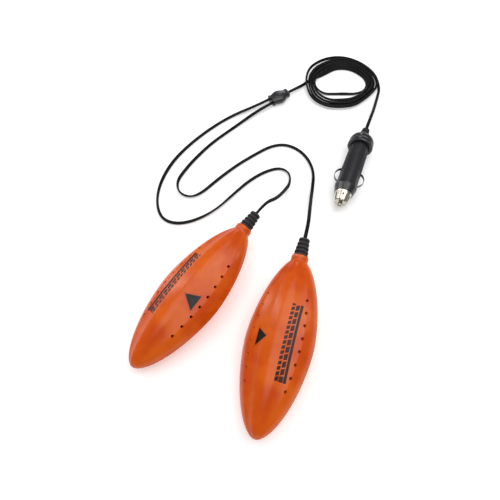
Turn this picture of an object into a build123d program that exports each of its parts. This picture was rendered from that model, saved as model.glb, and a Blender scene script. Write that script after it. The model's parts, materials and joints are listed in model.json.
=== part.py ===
from build123d import *

import math
import os

# A pair of 12 V boot dryers: two hollow spindle-shaped heaters, each on a thin twin lead, joined in a
# splitter to one coiled lead with a car socket plug. Millimetres, +Z up, +Y away from the user, lying on
# z = 0, with the origin under the middle of the two heaters.

# ---- heater housing: a long lens with a ridge down the middle and one down each side ----
LENS_LENGTH = 141.0      # between the points where the outline would close
LENS_WIDTH = 54.3
UPPER_HEIGHT = 17.6      # parting plane to the crest of the upper shell
LOWER_HEIGHT = 16.8      # parting plane to the crest of the lower shell
WIDTH_POWER = 1.68       # outline: half width = W/2 * (1 - s^power)^fullness
WIDTH_FULLNESS = 0.57
HEIGHT_POWER = 2.0
HEIGHT_FULLNESS = 0.5
SHELL_WALL = 1.8
NECK_INSET = 3.0         # the neck is cut this far inside the closed end
COLLAR_RADIUS = 7.0
COLLAR_LENGTH = 3.4
COLLAR_OVERLAP = 4.0     # how far the collar runs into the shells
NECK_BORE = 4.1          # radius of the hole that the strain relief passes through

SIDE_RIDGE = (0.71, 0.63)    # side ridge, as shares of the half width and height
CREST_FOOT = (0.27, 0.92)    # where the flat beside the middle ridge starts

VENT_COUNT = 8
VENT_RADIUS = 1.0
VENT_PITCH = 9.7
VENT_FIRST = -33.0

# ---- strain relief of a heater ----
RELIEF_LENGTH = 16.0
RELIEF_BASE = 6.1
RELIEF_END = 4.4
RELIEF_RIBS = 4
RELIEF_GROOVE = 1.3
RELIEF_FLANGE = 5.2
RELIEF_FLANGE_THICK = 1.6
RUN_CLEAR = 0.1

# ---- heater inside a housing ----
PLATE_LENGTH = 80.0
PLATE_WIDTH = 22.0
PLATE_THICK = 1.2
PLATE_BOTTOM = -4.0
PLATE_LIP = 6.0
PLATE_POST_INSET = 4.0   # from the heat plate's end to its posts
PTC_LENGTH = 15.0
PTC_WIDTH = 12.0
PTC_THICK = 2.4
PTC_COUNT = 3
PTC_PITCH = 18.5
CLAMP_END = 3.5          # the clamp plate reaches this far past the outer stones
CLAMP_WIDTH = 13.0
CLAMP_THICK = 1.0
CLAMP_SCREW_INSET = 1.9
SMALL_SCREW = 1.0        # radius of the M2 shanks
SMALL_HEAD = 1.9
SMALL_HEAD_THICK = 1.2
CUTOUT_RADIUS = 1.9
CUTOUT_LENGTH = 5.0
CUTOUT_INSET = 6.0       # from the heat plate's end to the middle of the cut-out
CUTOUT_SIDE = 6.6
WIRE_RADIUS = 0.65
WIRE_GAP = 1.1           # half the distance between the two conductors
WIRE_STRAIGHT = 1.5      # past the bridge, before the conductors spread
WIRE_SIDE = -4.6         # where the second conductor meets the clamp plate

BRIDGE_GAP = 11.0        # from the heat plate's end to the middle of the cord bridge
BRIDGE_LENGTH = 5.0
BRIDGE_WIDTH = 14.0
BRIDGE_THICK = 3.1
BRIDGE_SCREW_AT = 4.6

SHELL_SCREW_BACK_GAP = 4.0   # from the heat plate's end to the two screws beside the neck
SHELL_SCREW_FRONT_GAP = 12.0
SHELL_SCREW_SIDE = 11.0
SHELL_SCREW_RADIUS = 1.2
SHELL_SCREW_HEAD = 2.3
SHELL_SCREW_HEAD_THICK = 1.6
SHELL_SCREW_SEAT = -5.0  # height of the head's seat
SHELL_SCREW_TOP = 4.5
BOSS_RADIUS = 3.0
POST_RADIUS = 2.4

# ---- where each housing lies: x, y, heading, pitch and roll in degrees ----
PLACES = {
    "left": (-26.7, 17.5, -127.0, 6.5, 9.0),
    "right": (42.3, -21.5, -105.5, 6.5, 13.0),
}

# ---- car plug, along its own axis from the back of the cap ----
PLUG_BACK = (132.7, 187.0)
PLUG_HEADING = -111.4
PLUG_RELIEF_LENGTH = 10.0
PLUG_RELIEF_END = 3.5
PLUG_RELIEF_BASE = 5.0
CAP_LENGTH = 14.5
CAP_RADIUS = 12.3
CAP_BACK_RADIUS = 6.0
CAP_RIM = 4.5
CAP_END_WALL = 6.0
BARREL_END = 61.5
BARREL_BACK_RADIUS = 9.1
BARREL_RADIUS = 9.9
BARREL_WALL = 1.2       # at the back
SHOULDER = 2.5           # from the barrel's front edge in to its threaded spigot
SPIGOT_LENGTH = 5.5
SPIGOT_WALL = 1.8
THREAD_CLEAR = 0.1
NOSE_STEP = 0.5          # the nose ring stands this far past the barrel
NOSE_LAND = 2.6
NOSE_EDGE = 0.6
NOSE_TAPER = 1.9         # from the ring's land down to its front edge
SEAT_GAP = 0.05          # between the nose ring and the barrel's shoulder
NOSE_LENGTH = 10.0
NOSE_LIP = 3.0
NOSE_GAP = 0.2
CONE_STEP = 0.5          # the cone's back edge is this far inside the ring's front edge
CONE_TAPER = 2.6
CONE_LENGTH = 10.0
CONE_SPIGOT_STEP = 0.9   # between the barrel's spigot and the cone's smaller one
CONE_SPIGOT_LENGTH = 3.8
CONE_CLEAR = 0.6         # round the pin's shoulder
CONE_WALL = 2.6
CONE_SLOTS = 6
PIN_RADIUS = 2.05
PIN_REACH = 5.0          # how far the pin stands out of the cone
PIN_FLANGE = 3.9
PIN_FLANGE_THICK = 3.0
PIN_BOSS_CLEAR = 0.35    # the pin's boss is this much smaller than the fuse
FUSE_LENGTH = 30.0
FUSE_RADIUS = 3.15
FUSE_CAP_WALL = 0.25
FUSE_CAP_LENGTH = 6.0
FUSE_CLEAR = 0.2
SLEEVE_WALL = 0.6
SLEEVE_FLANGE_THICK = 2.0
PIN_TRAVEL = 3.5
SPRING_GAP = 0.3
SPRING_WIRE = 0.35
SPRING_TURNS = 4
BOW_FROM = 44.1
BOW_TO = 60.5
BOW_PEAK = 14.3          # distance of the spring contact's crown from the axis
BOW_TRAVEL = 3.6
BOW_CLEAR = 0.15         # between a pressed spring contact and the sleeve
BOW_WIDTH = 3.0
BOW_THICK = 0.5
SLOT_CLEAR = 0.4
BAND_LENGTH = 3.0        # ground band round the sleeve
BAND_THICK = 1.0
BAND_GAP = 2.0           # between the band and the spring contacts

# ---- splitter, along its own axis from the end with two leads ----
SPLITTER_AT = (42.8, 246.0)
SPLITTER_HEADING = 34.3
SPLITTER_LENGTH = 22.0
SPLITTER_THICK = 8.0
SPLITTER_WIDE = 8.0      # half width at the bulge
SPLITTER_TWIN_END = 6.4
SPLITTER_SINGLE_END = 5.0
SPLITTER_NECK = 0.8      # how much narrower the body is beside its end flanges
SPLITTER_FLANGE = 2.2
SPLITTER_LEADS = 3.1     # half the distance between the two leads
CRIMP_RADIUS = 1.3
CRIMP_LENGTH = 7.0

# ---- leads ----
CORD = 3.2               # width of the flat twin lead, and diameter of the plain tube
FLOOR = CORD / 2         # height of a lead's middle where it lies on the surface

COIL_CENTRE = (122.3, 276.5)
COIL_OUTER = (41.0, 40.0)
COIL_INNER = (28.0, 25.0)
COIL_HEIGHT = 6.4
COIL_EDGE = 1.6

LEFT_ROUTE = [
    (33.6, 97.6, 30.1), (43.8, 108.6, 20.0), (52.5, 125.5, 8.0), (58.8, 138.5, FLOOR),
    (59.3, 151.5, FLOOR), (50.3, 158.5, FLOOR), (35.3, 154.0, FLOOR), (19.3, 142.5, FLOOR),
    (5.3, 127.5, FLOOR), (-11.7, 108.5, FLOOR), (-30.7, 97.0, FLOOR), (-48.7, 93.5, FLOOR),
    (-62.7, 100.5, FLOOR), (-68.2, 121.5, FLOOR), (-64.7, 146.5, FLOOR), (-52.7, 173.5, FLOOR),
    (-28.7, 202.5, FLOOR), (-0.7, 227.0, FLOOR), (27.8, 239.5, 4.0),
]
RIGHT_ROUTE = [
    (69.1, 75.1, 30.1), (72.8, 96.5, 20.0), (76.9, 117.5, 8.0), (80.3, 134.5, FLOOR),
    (82.8, 152.5, FLOOR), (78.3, 169.5, FLOOR), (69.3, 181.5, FLOOR), (56.3, 188.5, FLOOR),
    (41.3, 186.0, FLOOR), (24.3, 174.5, FLOOR), (7.3, 161.5, FLOOR), (-10.7, 144.5, FLOOR),
    (-26.7, 127.0, FLOOR), (-37.7, 123.0, FLOOR), (-47.7, 128.5, FLOOR), (-50.2, 141.0, FLOOR),
    (-44.7, 153.5, FLOOR),
    (-33.7, 170.5, FLOOR), (-17.7, 190.5, FLOOR), (4.8, 211.5, FLOOR), (31.3, 234.4, 4.0),
]
SPLITTER_ROUTE = [(71.7, 265.7, 4.0), (78.8, 272.0, 2.4)]
SPLITTER_ROUTE_END = (84.3, 279.0, FLOOR)
PLUG_ROUTE_START = (159.1, 261.0, FLOOR)
PLUG_ROUTE = [(155.8, 246.5, 3.0), (149.8, 229.5, 8.0), (142.2, 210.6, 13.5)]


def half_width(x, inset=0.0):
    """Half the width of the lens at x, less a wall."""
    share = abs(x) / (LENS_LENGTH / 2)
    return LENS_WIDTH / 2 * (1 - share**WIDTH_POWER) ** WIDTH_FULLNESS - inset


def half_height(x, height, inset=0.0):
    """Height of the lens above or below its parting plane at x, less a wall."""
    share = abs(x) / (LENS_LENGTH / 2)
    return height * (1 - share**HEIGHT_POWER) ** HEIGHT_FULLNESS - inset


def section(x, inset=0.0):
    """The ridged cross-section of the lens at x, in a plane across its length."""
    w = half_width(x, inset)
    up = half_height(x, UPPER_HEIGHT, inset)
    down = -half_height(x, LOWER_HEIGHT, inset)
    ridge_y, ridge_z = SIDE_RIDGE
    foot_y, foot_z = CREST_FOOT
    side_y, side_z = (1 + ridge_y) / 2 + 0.05, ridge_z / 2 + 0.03
    flat_y, flat_z = (ridge_y + foot_y) / 2, (ridge_z + foot_z) / 2 - 0.02
    edges = Curve()
    for h, turn in ((up, 1), (down, -1)):
        sides = ((1, -1) if turn > 0 else (-1, 1))
        for s in sides:
            side = [(s * w, 0), (s * w * side_y, h * side_z), (s * w * ridge_y, h * ridge_z)]
            flat = [side[2], (s * w * flat_y, h * flat_z), (s * w * foot_y, h * foot_z)]
            edges += [ThreePointArc(*side), ThreePointArc(*flat)]
        edges += ThreePointArc((w * foot_y, h * foot_z), (0, h), (-w * foot_y, h * foot_z))
    across = Plane(origin=(x, 0, 0), x_dir=(0, 1, 0), z_dir=(1, 0, 0))
    return across * make_face(edges)


def lens(inset, shares):
    """Loft of the lens through sections at shares of its half length."""
    return loft([section(share * LENS_LENGTH / 2, inset) for share in shares])


NECK_X = -(LENS_LENGTH / 2 - NECK_INSET)
OUTER_SHARES = (NECK_X / (LENS_LENGTH / 2), -0.88, -0.75, -0.55, -0.3, 0, 0.3, 0.55, 0.75, 0.88, 0.95, 0.985, 0.998)
INNER_SHARES = (-0.9, -0.8, -0.6, -0.3, 0, 0.3, 0.6, 0.8, 0.9)


def along_x(profile):
    """Turn a half profile of (x, radius) points about the X axis."""
    points = [(profile[0][0], 0), *profile, (profile[-1][0], 0)]
    return revolve(make_face(Polyline(*points, close=True)), Axis.X, 360)


def rod_x(radius, start, end, y=0.0, z=0.0):
    return Pos((start + end) / 2, y, z) * Rot(Y=90) * Cylinder(radius, end - start)


def rod_z(radius, bottom, top, x=0.0, y=0.0):
    return Pos(x, y, (bottom + top) / 2) * Cylinder(radius, top - bottom)


def plate(length, width, bottom, top, x=0.0, y=0.0):
    return Pos(x, y, (bottom + top) / 2) * Box(length, width, top - bottom)


PLATE_END = PLATE_LENGTH / 2
PLATE_POST_AT = PLATE_END - PLATE_POST_INSET
CLAMP_LENGTH = (PTC_COUNT - 1) * PTC_PITCH + PTC_LENGTH + 2 * CLAMP_END
CLAMP_SCREW_AT = CLAMP_LENGTH / 2 - CLAMP_SCREW_INSET
CUTOUT_AT = (-PLATE_END + CUTOUT_INSET, CUTOUT_SIDE)
BRIDGE_AT = -PLATE_END - BRIDGE_GAP
SHELL_SCREWS = (
    (-PLATE_END - SHELL_SCREW_BACK_GAP, SHELL_SCREW_SIDE), (-PLATE_END - SHELL_SCREW_BACK_GAP, -SHELL_SCREW_SIDE),
    (PLATE_END + SHELL_SCREW_FRONT_GAP, 0.0),
)
PLATE_TOP = PLATE_BOTTOM + PLATE_THICK
PTC_TOP = PLATE_TOP + PTC_THICK
CLAMP_TOP = PTC_TOP + CLAMP_THICK
BRIDGE_BOTTOM = -BRIDGE_THICK / 2
BRIDGE_TOP = BRIDGE_BOTTOM + BRIDGE_THICK
DEEP = 2 * max(UPPER_HEIGHT, LOWER_HEIGHT)


def vents():
    """Two rows of holes through the upper shell, one along each side ridge."""
    ridge_y, ridge_z = SIDE_RIDGE
    holes = []
    for row in (1, -1):
        for number in range(VENT_COUNT):
            x = VENT_FIRST + number * VENT_PITCH
            y = row * ridge_y * half_width(x)
            z = ridge_z * half_height(x, UPPER_HEIGHT)
            lean = math.degrees(math.atan2(ridge_y, ridge_z)) * row
            holes.append(Pos(x, y, z) * Rot(X=-lean) * Cylinder(VENT_RADIUS, 6 * SHELL_WALL))
    return holes


def housing():
    """Upper and lower shell, split on the widest contour."""
    body = lens(0.0, OUTER_SHARES)
    collar = along_x([
        (NECK_X - COLLAR_LENGTH, COLLAR_RADIUS - 0.5), (NECK_X - COLLAR_LENGTH + 0.5, COLLAR_RADIUS),
        (NECK_X - 0.5, COLLAR_RADIUS), (NECK_X + COLLAR_OVERLAP, 4.8),
    ])
    hollow = lens(SHELL_WALL, INNER_SHARES)
    bore = rod_x(NECK_BORE, NECK_X - COLLAR_LENGTH - 1, INNER_SHARES[0] * LENS_LENGTH / 2 + 1)
    skin = body + collar - hollow - bore
    room = 3 * LENS_LENGTH
    above = Pos(0, 0, room / 2) * Box(room, room, room)
    upper = skin & above
    lower = skin - above
    inner_end = INNER_SHARES[0] * LENS_LENGTH / 2
    posts = [rod_z(POST_RADIUS, 0, DEEP, x, y) for x, y in SHELL_SCREWS]
    bosses = [rod_z(BOSS_RADIUS, -DEEP, 0, x, y) for x, y in SHELL_SCREWS]
    bosses += [rod_z(BOSS_RADIUS, -DEEP, PLATE_BOTTOM, s * PLATE_POST_AT, 0) for s in (1, -1)]
    bosses += [rod_z(POST_RADIUS, -DEEP, BRIDGE_BOTTOM, BRIDGE_AT, s * BRIDGE_SCREW_AT) for s in (1, -1)]
    inside = body & Pos(inner_end + LENS_LENGTH, 0, 0) * Box(2 * LENS_LENGTH, room, room)
    for post in posts:
        upper += post & inside
    for boss in bosses:
        lower += boss & inside
    for hole in vents():
        upper -= hole
    for x, y in SHELL_SCREWS:
        upper -= rod_z(SHELL_SCREW_RADIUS, -1, SHELL_SCREW_TOP, x, y)
        lower -= rod_z(SHELL_SCREW_RADIUS, -DEEP, 1, x, y)
        lower -= rod_z(SHELL_SCREW_HEAD + RUN_CLEAR, -DEEP, SHELL_SCREW_SEAT, x, y)
    for s in (1, -1):
        lower -= rod_z(SMALL_SCREW, PLATE_BOTTOM - 4, PLATE_BOTTOM + 1, s * PLATE_POST_AT, 0)
        lower -= rod_z(SMALL_SCREW, BRIDGE_BOTTOM - 4, BRIDGE_BOTTOM + 1, BRIDGE_AT, s * BRIDGE_SCREW_AT)
    return upper, lower


def ribbed(start, end, base, tip, ribs, groove):
    """A tapered relief with ribs, from its base at start to its tip at end, as (x, radius) points."""
    pitch = (end - start) / (ribs + 0.5)
    slope = (tip - base) / (end - start)
    points = [(start, base)]
    for rib in range(ribs):
        a = start + (rib + 0.45) * pitch
        b = start + (rib + 0.95) * pitch
        ra = base + slope * (a - start)
        rb = base + slope * (b - start)
        points += [(a, ra), (a, ra - groove), (b, rb - groove), (b, rb)]
    points.append((end, tip))
    return points


def strain_relief():
    """Moulded relief that grips the neck: inner flange, waist in the bore, ribbed taper outside."""
    face = NECK_X - COLLAR_LENGTH
    inner = INNER_SHARES[0] * LENS_LENGTH / 2
    outside = ribbed(face, face - RELIEF_LENGTH, RELIEF_BASE, RELIEF_END, RELIEF_RIBS, RELIEF_GROOVE)
    waist = NECK_BORE - RUN_CLEAR
    profile = [*reversed(outside), (face, waist), (inner + 0.2, waist)]
    lens_limit = half_height(inner, min(UPPER_HEIGHT, LOWER_HEIGHT), SHELL_WALL)
    flange = min(RELIEF_FLANGE, lens_limit - 0.2)
    profile += [(inner + 0.2, flange), (inner + 0.2 + RELIEF_FLANGE_THICK, flange)]
    return along_x(profile)


RELIEF_TIP = NECK_X - COLLAR_LENGTH - RELIEF_LENGTH
WIRES_START = INNER_SHARES[0] * LENS_LENGTH / 2 + 0.2 + RELIEF_FLANGE_THICK


def heat_plate():
    """Aluminium spreader: a channel with its edges folded up."""
    base = plate(PLATE_LENGTH, PLATE_WIDTH, PLATE_BOTTOM, PLATE_TOP)
    edge = PLATE_WIDTH / 2 - PLATE_THICK / 2
    for s in (1, -1):
        base += plate(PLATE_LENGTH, PLATE_THICK, PLATE_BOTTOM, PLATE_BOTTOM + PLATE_LIP, 0, s * edge)
        base -= rod_z(SMALL_SCREW, PLATE_BOTTOM - 1, PLATE_TOP + 1, s * PLATE_POST_AT)
        base -= rod_z(SMALL_SCREW, PLATE_BOTTOM - 1, PLATE_TOP + 1, s * CLAMP_SCREW_AT)
    return base


def ptc_elements():
    first = -(PTC_COUNT - 1) / 2
    return [plate(PTC_LENGTH, PTC_WIDTH, PLATE_TOP, PTC_TOP, (first + n) * PTC_PITCH) for n in range(PTC_COUNT)]


def clamp_plate():
    bar = plate(CLAMP_LENGTH, CLAMP_WIDTH, PTC_TOP, CLAMP_TOP)
    for s in (1, -1):
        bar -= rod_z(SMALL_SCREW, PTC_TOP - 1, CLAMP_TOP + 1, s * CLAMP_SCREW_AT)
    return bar


def small_screw(x, y, seat, tip):
    return rod_z(SMALL_SCREW, tip, seat, x, y) + rod_z(SMALL_HEAD, seat, seat + SMALL_HEAD_THICK, x, y)


def heater_screws():
    """Two screws hold the clamp plate to the spreader, and two hold the spreader to its posts."""
    ends = (1, -1)
    held = [small_screw(s * PLATE_POST_AT, 0, PLATE_TOP, PLATE_BOTTOM - 3.5) for s in ends]
    return held + [small_screw(s * CLAMP_SCREW_AT, 0, CLAMP_TOP, PLATE_BOTTOM - 1.2) for s in ends]


def thermal_cutout():
    x, y = CUTOUT_AT
    return rod_x(CUTOUT_RADIUS, x - CUTOUT_LENGTH / 2, x + CUTOUT_LENGTH / 2, y, PLATE_TOP + CUTOUT_RADIUS)


def swept(points, radius, bend):
    """A round wire along straight runs joined by arcs of one radius."""
    path = FilletPolyline(*points, radius=bend)
    start = Plane(origin=path @ 0, z_dir=path % 0)
    return sweep(start * Circle(radius), path=path)


def lead_wires():
    """Two conductors, one to the thermal cut-out and one to the clamp plate."""
    x, y = CUTOUT_AT
    z = PLATE_TOP + CUTOUT_RADIUS
    end = x - CUTOUT_LENGTH / 2
    spread = BRIDGE_AT + BRIDGE_LENGTH / 2 + WIRE_STRAIGHT
    to_cutout = [(WIRES_START, WIRE_GAP, 0), (spread, WIRE_GAP, 0), (end - 3, y, z), (end, y, z)]
    top = CLAMP_TOP + WIRE_RADIUS
    side = WIRE_SIDE
    tab = -CLAMP_LENGTH / 2 + 1.5
    to_clamp = [(WIRES_START, -WIRE_GAP, 0), (spread, -WIRE_GAP, 0), (tab - 6.5, side, top + 1.4), (tab, side, top)]
    return [swept(to_cutout, WIRE_RADIUS, 1.0), swept(to_clamp, WIRE_RADIUS, 1.0)]


def cord_bridge():
    """Bridge that clamps the two conductors beside the neck."""
    bridge = plate(BRIDGE_LENGTH, BRIDGE_WIDTH, BRIDGE_BOTTOM, BRIDGE_TOP, BRIDGE_AT)
    for s in (1, -1):
        bridge -= rod_x(WIRE_RADIUS, BRIDGE_AT - BRIDGE_LENGTH, BRIDGE_AT + BRIDGE_LENGTH, s * WIRE_GAP)
        bridge -= rod_z(SMALL_SCREW, BRIDGE_BOTTOM - 1, BRIDGE_TOP + 1, BRIDGE_AT, s * BRIDGE_SCREW_AT)
    return bridge


def bridge_screws():
    return [small_screw(BRIDGE_AT, s * BRIDGE_SCREW_AT, BRIDGE_TOP, BRIDGE_BOTTOM - 3.5) for s in (1, -1)]


def shell_screws():
    screws = []
    for x, y in SHELL_SCREWS:
        head = rod_z(SHELL_SCREW_HEAD, SHELL_SCREW_SEAT - SHELL_SCREW_HEAD_THICK, SHELL_SCREW_SEAT, x, y)
        screws.append(head + rod_z(SHELL_SCREW_RADIUS, SHELL_SCREW_SEAT, SHELL_SCREW_TOP, x, y))
    return screws


def dryer_pieces():
    """Every piece of one heater, in its own frame: +X towards the tip, parting plane at z = 0."""
    upper, lower = housing()
    return {
        "upper_shell": upper, "lower_shell": lower, "strain_relief": strain_relief(),
        "heat_plate": heat_plate(), "ptc_elements": ptc_elements(), "clamp_plate": clamp_plate(),
        "heater_screws": heater_screws(), "thermal_cutout": thermal_cutout(), "lead_wires": lead_wires(),
        "cord_bridge": cord_bridge(), "bridge_screws": bridge_screws(), "shell_screws": shell_screws(),
    }


# ---- car plug, built along +Z from the back of its cap ----
BARREL_BORE = BARREL_BACK_RADIUS - BARREL_WALL
SPIGOT_RADIUS = BARREL_RADIUS - SHOULDER
SPIGOT_BORE = SPIGOT_RADIUS - SPIGOT_WALL
NOSE_RADIUS = BARREL_RADIUS + NOSE_STEP
NOSE_FRONT_RADIUS = NOSE_RADIUS - NOSE_TAPER
CONE_RADIUS = NOSE_FRONT_RADIUS - CONE_STEP
CONE_FRONT_RADIUS = CONE_RADIUS - CONE_TAPER
CONE_SPIGOT = SPIGOT_RADIUS - CONE_SPIGOT_STEP
CONE_BORE = PIN_FLANGE + CONE_CLEAR
FUSE_GLASS = FUSE_RADIUS - FUSE_CAP_WALL
PIN_BOSS = FUSE_RADIUS - PIN_BOSS_CLEAR
SLEEVE_BORE = FUSE_RADIUS + FUSE_CLEAR
SLEEVE_RADIUS = SLEEVE_BORE + SLEEVE_WALL
BOW_FOOT = SLEEVE_RADIUS + BOW_CLEAR + BOW_TRAVEL
NOSE_END = BARREL_END + NOSE_LENGTH
CONE_START = NOSE_END + NOSE_GAP
CONE_END = CONE_START + CONE_LENGTH
PIN_SHOULDER = CONE_END - CONE_WALL - 0.2
FUSE_END = CONE_START - CONE_SPIGOT_LENGTH - 0.4
FUSE_START = FUSE_END - FUSE_LENGTH
SLEEVE_START = FUSE_START - PIN_TRAVEL - 2 * SPRING_GAP - 2 * SPRING_WIRE * (SPRING_TURNS + 1)


def along_z(profile):
    """Turn a half profile of (radius, z) points about the plug's axis."""
    upright = Plane.XZ * make_face(Polyline(*profile, close=True))
    return revolve(upright, Axis.Z, 360)


def tube(outer, inner, bottom, top):
    return rod_z(outer, bottom, top) - rod_z(inner, bottom - 1, top + 1)


def plug_cap():
    """Domed rear cap with a rim that the barrel seats in."""
    outline = Line((CAP_BACK_RADIUS, 0), (0, 0)) + Line((0, 0), (0, CAP_LENGTH))
    outline += Line((0, CAP_LENGTH), (CAP_RADIUS - 0.6, CAP_LENGTH))
    outline += Line((CAP_RADIUS - 0.6, CAP_LENGTH), (CAP_RADIUS, CAP_LENGTH - 0.6))
    outline += Line((CAP_RADIUS, CAP_LENGTH - 0.6), (CAP_RADIUS, CAP_LENGTH - CAP_RIM))
    crown = ((CAP_RADIUS + CAP_BACK_RADIUS) / 2 + 1.6, (CAP_LENGTH - CAP_RIM) / 2 - 1.6)
    outline += ThreePointArc((CAP_RADIUS, CAP_LENGTH - CAP_RIM), crown, (CAP_BACK_RADIUS, 0))
    dome = revolve(Plane.XZ * make_face(outline), Axis.Z, 360)
    return dome - rod_z(BARREL_BORE, CAP_END_WALL, CAP_LENGTH + 1)


def plug_relief():
    points = ribbed(0, -PLUG_RELIEF_LENGTH, PLUG_RELIEF_BASE, PLUG_RELIEF_END, 3, 0.9)
    return along_z([(0, 0), *[(r, z) for z, r in points], (0, -PLUG_RELIEF_LENGTH)])


def plug_barrel():
    """Hollow barrel with two slots for the spring contacts and a threaded spigot for the nose ring."""
    outer = along_z([
        (0, CAP_LENGTH), (BARREL_BACK_RADIUS, CAP_LENGTH), (BARREL_RADIUS, BARREL_END),
        (SPIGOT_RADIUS, BARREL_END), (SPIGOT_RADIUS, BARREL_END + SPIGOT_LENGTH), (0, BARREL_END + SPIGOT_LENGTH),
    ])
    barrel = outer - rod_z(BARREL_BORE, CAP_LENGTH - 1, BARREL_END - 0.5)
    barrel -= rod_z(SPIGOT_BORE, CAP_LENGTH, BARREL_END + SPIGOT_LENGTH + 1)
    slot = BOW_TO - BOW_FROM + 2 * SLOT_CLEAR
    middle = (BOW_TO + BOW_FROM) / 2
    return barrel - Pos(0, 0, middle) * Box(4 * BARREL_RADIUS, BOW_WIDTH + 2 * SLOT_CLEAR, slot)


def nose_ring():
    """Ring that screws onto the barrel's spigot, with a lip that holds the metal cone."""
    seat = BARREL_END + SEAT_GAP
    ring = along_z([
        (0, seat), (NOSE_RADIUS - NOSE_EDGE, seat), (NOSE_RADIUS, seat + NOSE_EDGE),
        (NOSE_RADIUS, seat + NOSE_EDGE + NOSE_LAND), (NOSE_FRONT_RADIUS, NOSE_END), (0, NOSE_END),
    ])
    ring -= rod_z(SPIGOT_RADIUS + THREAD_CLEAR, BARREL_END - 1, NOSE_END - NOSE_LIP)
    return ring - rod_z(CONE_SPIGOT + THREAD_CLEAR, BARREL_END, NOSE_END + 1)


def nose_cone():
    """Plated cone with shallow slots, a bore for the pin and a spigot inside the nose ring."""
    cone = along_z([
        (0, CONE_START - CONE_SPIGOT_LENGTH), (CONE_SPIGOT, CONE_START - CONE_SPIGOT_LENGTH),
        (CONE_SPIGOT, CONE_START), (CONE_RADIUS, CONE_START), (CONE_RADIUS - 0.3, CONE_START + 1.0),
        (CONE_FRONT_RADIUS + 0.6, CONE_END - 0.8), (CONE_FRONT_RADIUS, CONE_END), (0, CONE_END),
    ])
    cone -= rod_z(CONE_BORE, CONE_START - CONE_SPIGOT_LENGTH - 1, CONE_END - CONE_WALL)
    cone -= rod_z(PIN_RADIUS + THREAD_CLEAR, CONE_START, CONE_END + 1)
    for slot in range(CONE_SLOTS):
        cut = Pos(CONE_RADIUS, 0, CONE_END - 3.0) * Box(2 * (CONE_RADIUS - CONE_FRONT_RADIUS), 1.4, 8.0)
        cone -= Rot(Z=360 / CONE_SLOTS * (slot + 0.5)) * cut
    return cone


def contact_pin():
    """Spring-loaded centre pin: a boss against the fuse, a shoulder in the cone, a rounded tip."""
    tip = CONE_END + PIN_REACH
    return along_z([
        (0, FUSE_END), (PIN_BOSS, FUSE_END), (PIN_BOSS, PIN_SHOULDER - PIN_FLANGE_THICK),
        (PIN_FLANGE, PIN_SHOULDER - PIN_FLANGE_THICK), (PIN_FLANGE, PIN_SHOULDER), (PIN_RADIUS, PIN_SHOULDER),
        (PIN_RADIUS, tip - 0.9), (PIN_RADIUS - 0.4, tip - 0.25), (PIN_RADIUS - 1.0, tip), (0, tip),
    ])


def fuse_caps():
    hole = FUSE_GLASS
    front = rod_z(FUSE_RADIUS, FUSE_END - FUSE_CAP_LENGTH, FUSE_END)
    front -= rod_z(hole, FUSE_END - FUSE_CAP_LENGTH - 1, FUSE_END - 0.5)
    back = rod_z(FUSE_RADIUS, FUSE_START, FUSE_START + FUSE_CAP_LENGTH)
    back -= rod_z(hole, FUSE_START + 0.5, FUSE_START + FUSE_CAP_LENGTH + 1)
    return [front, back]


def fuse_glass():
    return tube(FUSE_GLASS, FUSE_GLASS - 0.6, FUSE_START + 0.5, FUSE_END - 0.5)


def fuse_wire():
    return rod_z(0.2, FUSE_START + 0.5, FUSE_END - 0.5)


def contact_sleeve():
    """Insulating sleeve that guides the fuse, with a flange across the barrel's bore."""
    top = BARREL_END + 1.0
    sleeve = tube(SLEEVE_RADIUS, SLEEVE_BORE, SLEEVE_START, top)
    flange = rod_z(BARREL_BORE, SLEEVE_START - SLEEVE_FLANGE_THICK, SLEEVE_START)
    flange -= rod_z(WIRE_RADIUS, SLEEVE_START - 5, SLEEVE_START + 1, 0, SLEEVE_RADIUS + BAND_THICK + WIRE_RADIUS)
    flange -= rod_z(WIRE_RADIUS, SLEEVE_START - 5, SLEEVE_START + 1)
    return sleeve + flange


def rear_contact():
    return rod_z(SLEEVE_BORE, SLEEVE_START, SLEEVE_START + 0.5)


def pin_spring():
    """Closed coils of the pin's spring, at their pressed length, each coil a ring."""
    first = SLEEVE_START + 0.5 + SPRING_WIRE
    ring = SLEEVE_BORE - SPRING_WIRE - 0.3
    spring = Pos(0, 0, first) * Torus(ring, SPRING_WIRE)
    for turn in range(1, SPRING_TURNS):
        height = first + turn * 1.9 * SPRING_WIRE
        spring += Pos(0, 0, height) * Torus(ring, SPRING_WIRE)
    return spring


def ground_band():
    end = BOW_FROM - BAND_GAP
    return tube(SLEEVE_RADIUS + BAND_THICK, SLEEVE_RADIUS, end - BAND_LENGTH, end)


def plug_wires():
    side = SLEEVE_RADIUS + BAND_THICK + WIRE_RADIUS
    return [rod_z(WIRE_RADIUS, CAP_END_WALL, SLEEVE_START), rod_z(WIRE_RADIUS, CAP_END_WALL, BOW_FROM - BAND_GAP - 0.5, 0, side)]


def side_contact(side):
    """Bowed spring contact, a strip bent to an arc through its slot."""
    middle = (BOW_FROM + BOW_TO) / 2
    outer = ThreePointArc((BOW_FOOT, BOW_FROM), (BOW_PEAK, middle), (BOW_FOOT, BOW_TO))
    inner = ThreePointArc(
        (BOW_FOOT, BOW_TO - 1.2 * BOW_THICK), (BOW_PEAK - BOW_THICK, middle), (BOW_FOOT, BOW_FROM + 1.2 * BOW_THICK)
    )
    ends = Line(outer @ 1, inner @ 0) + Line(inner @ 1, outer @ 0)
    strip = extrude(Plane.XZ * make_face(outer + inner + ends), BOW_WIDTH / 2, both=True)
    return Rot(Z=0 if side > 0 else 180) * strip


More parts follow.
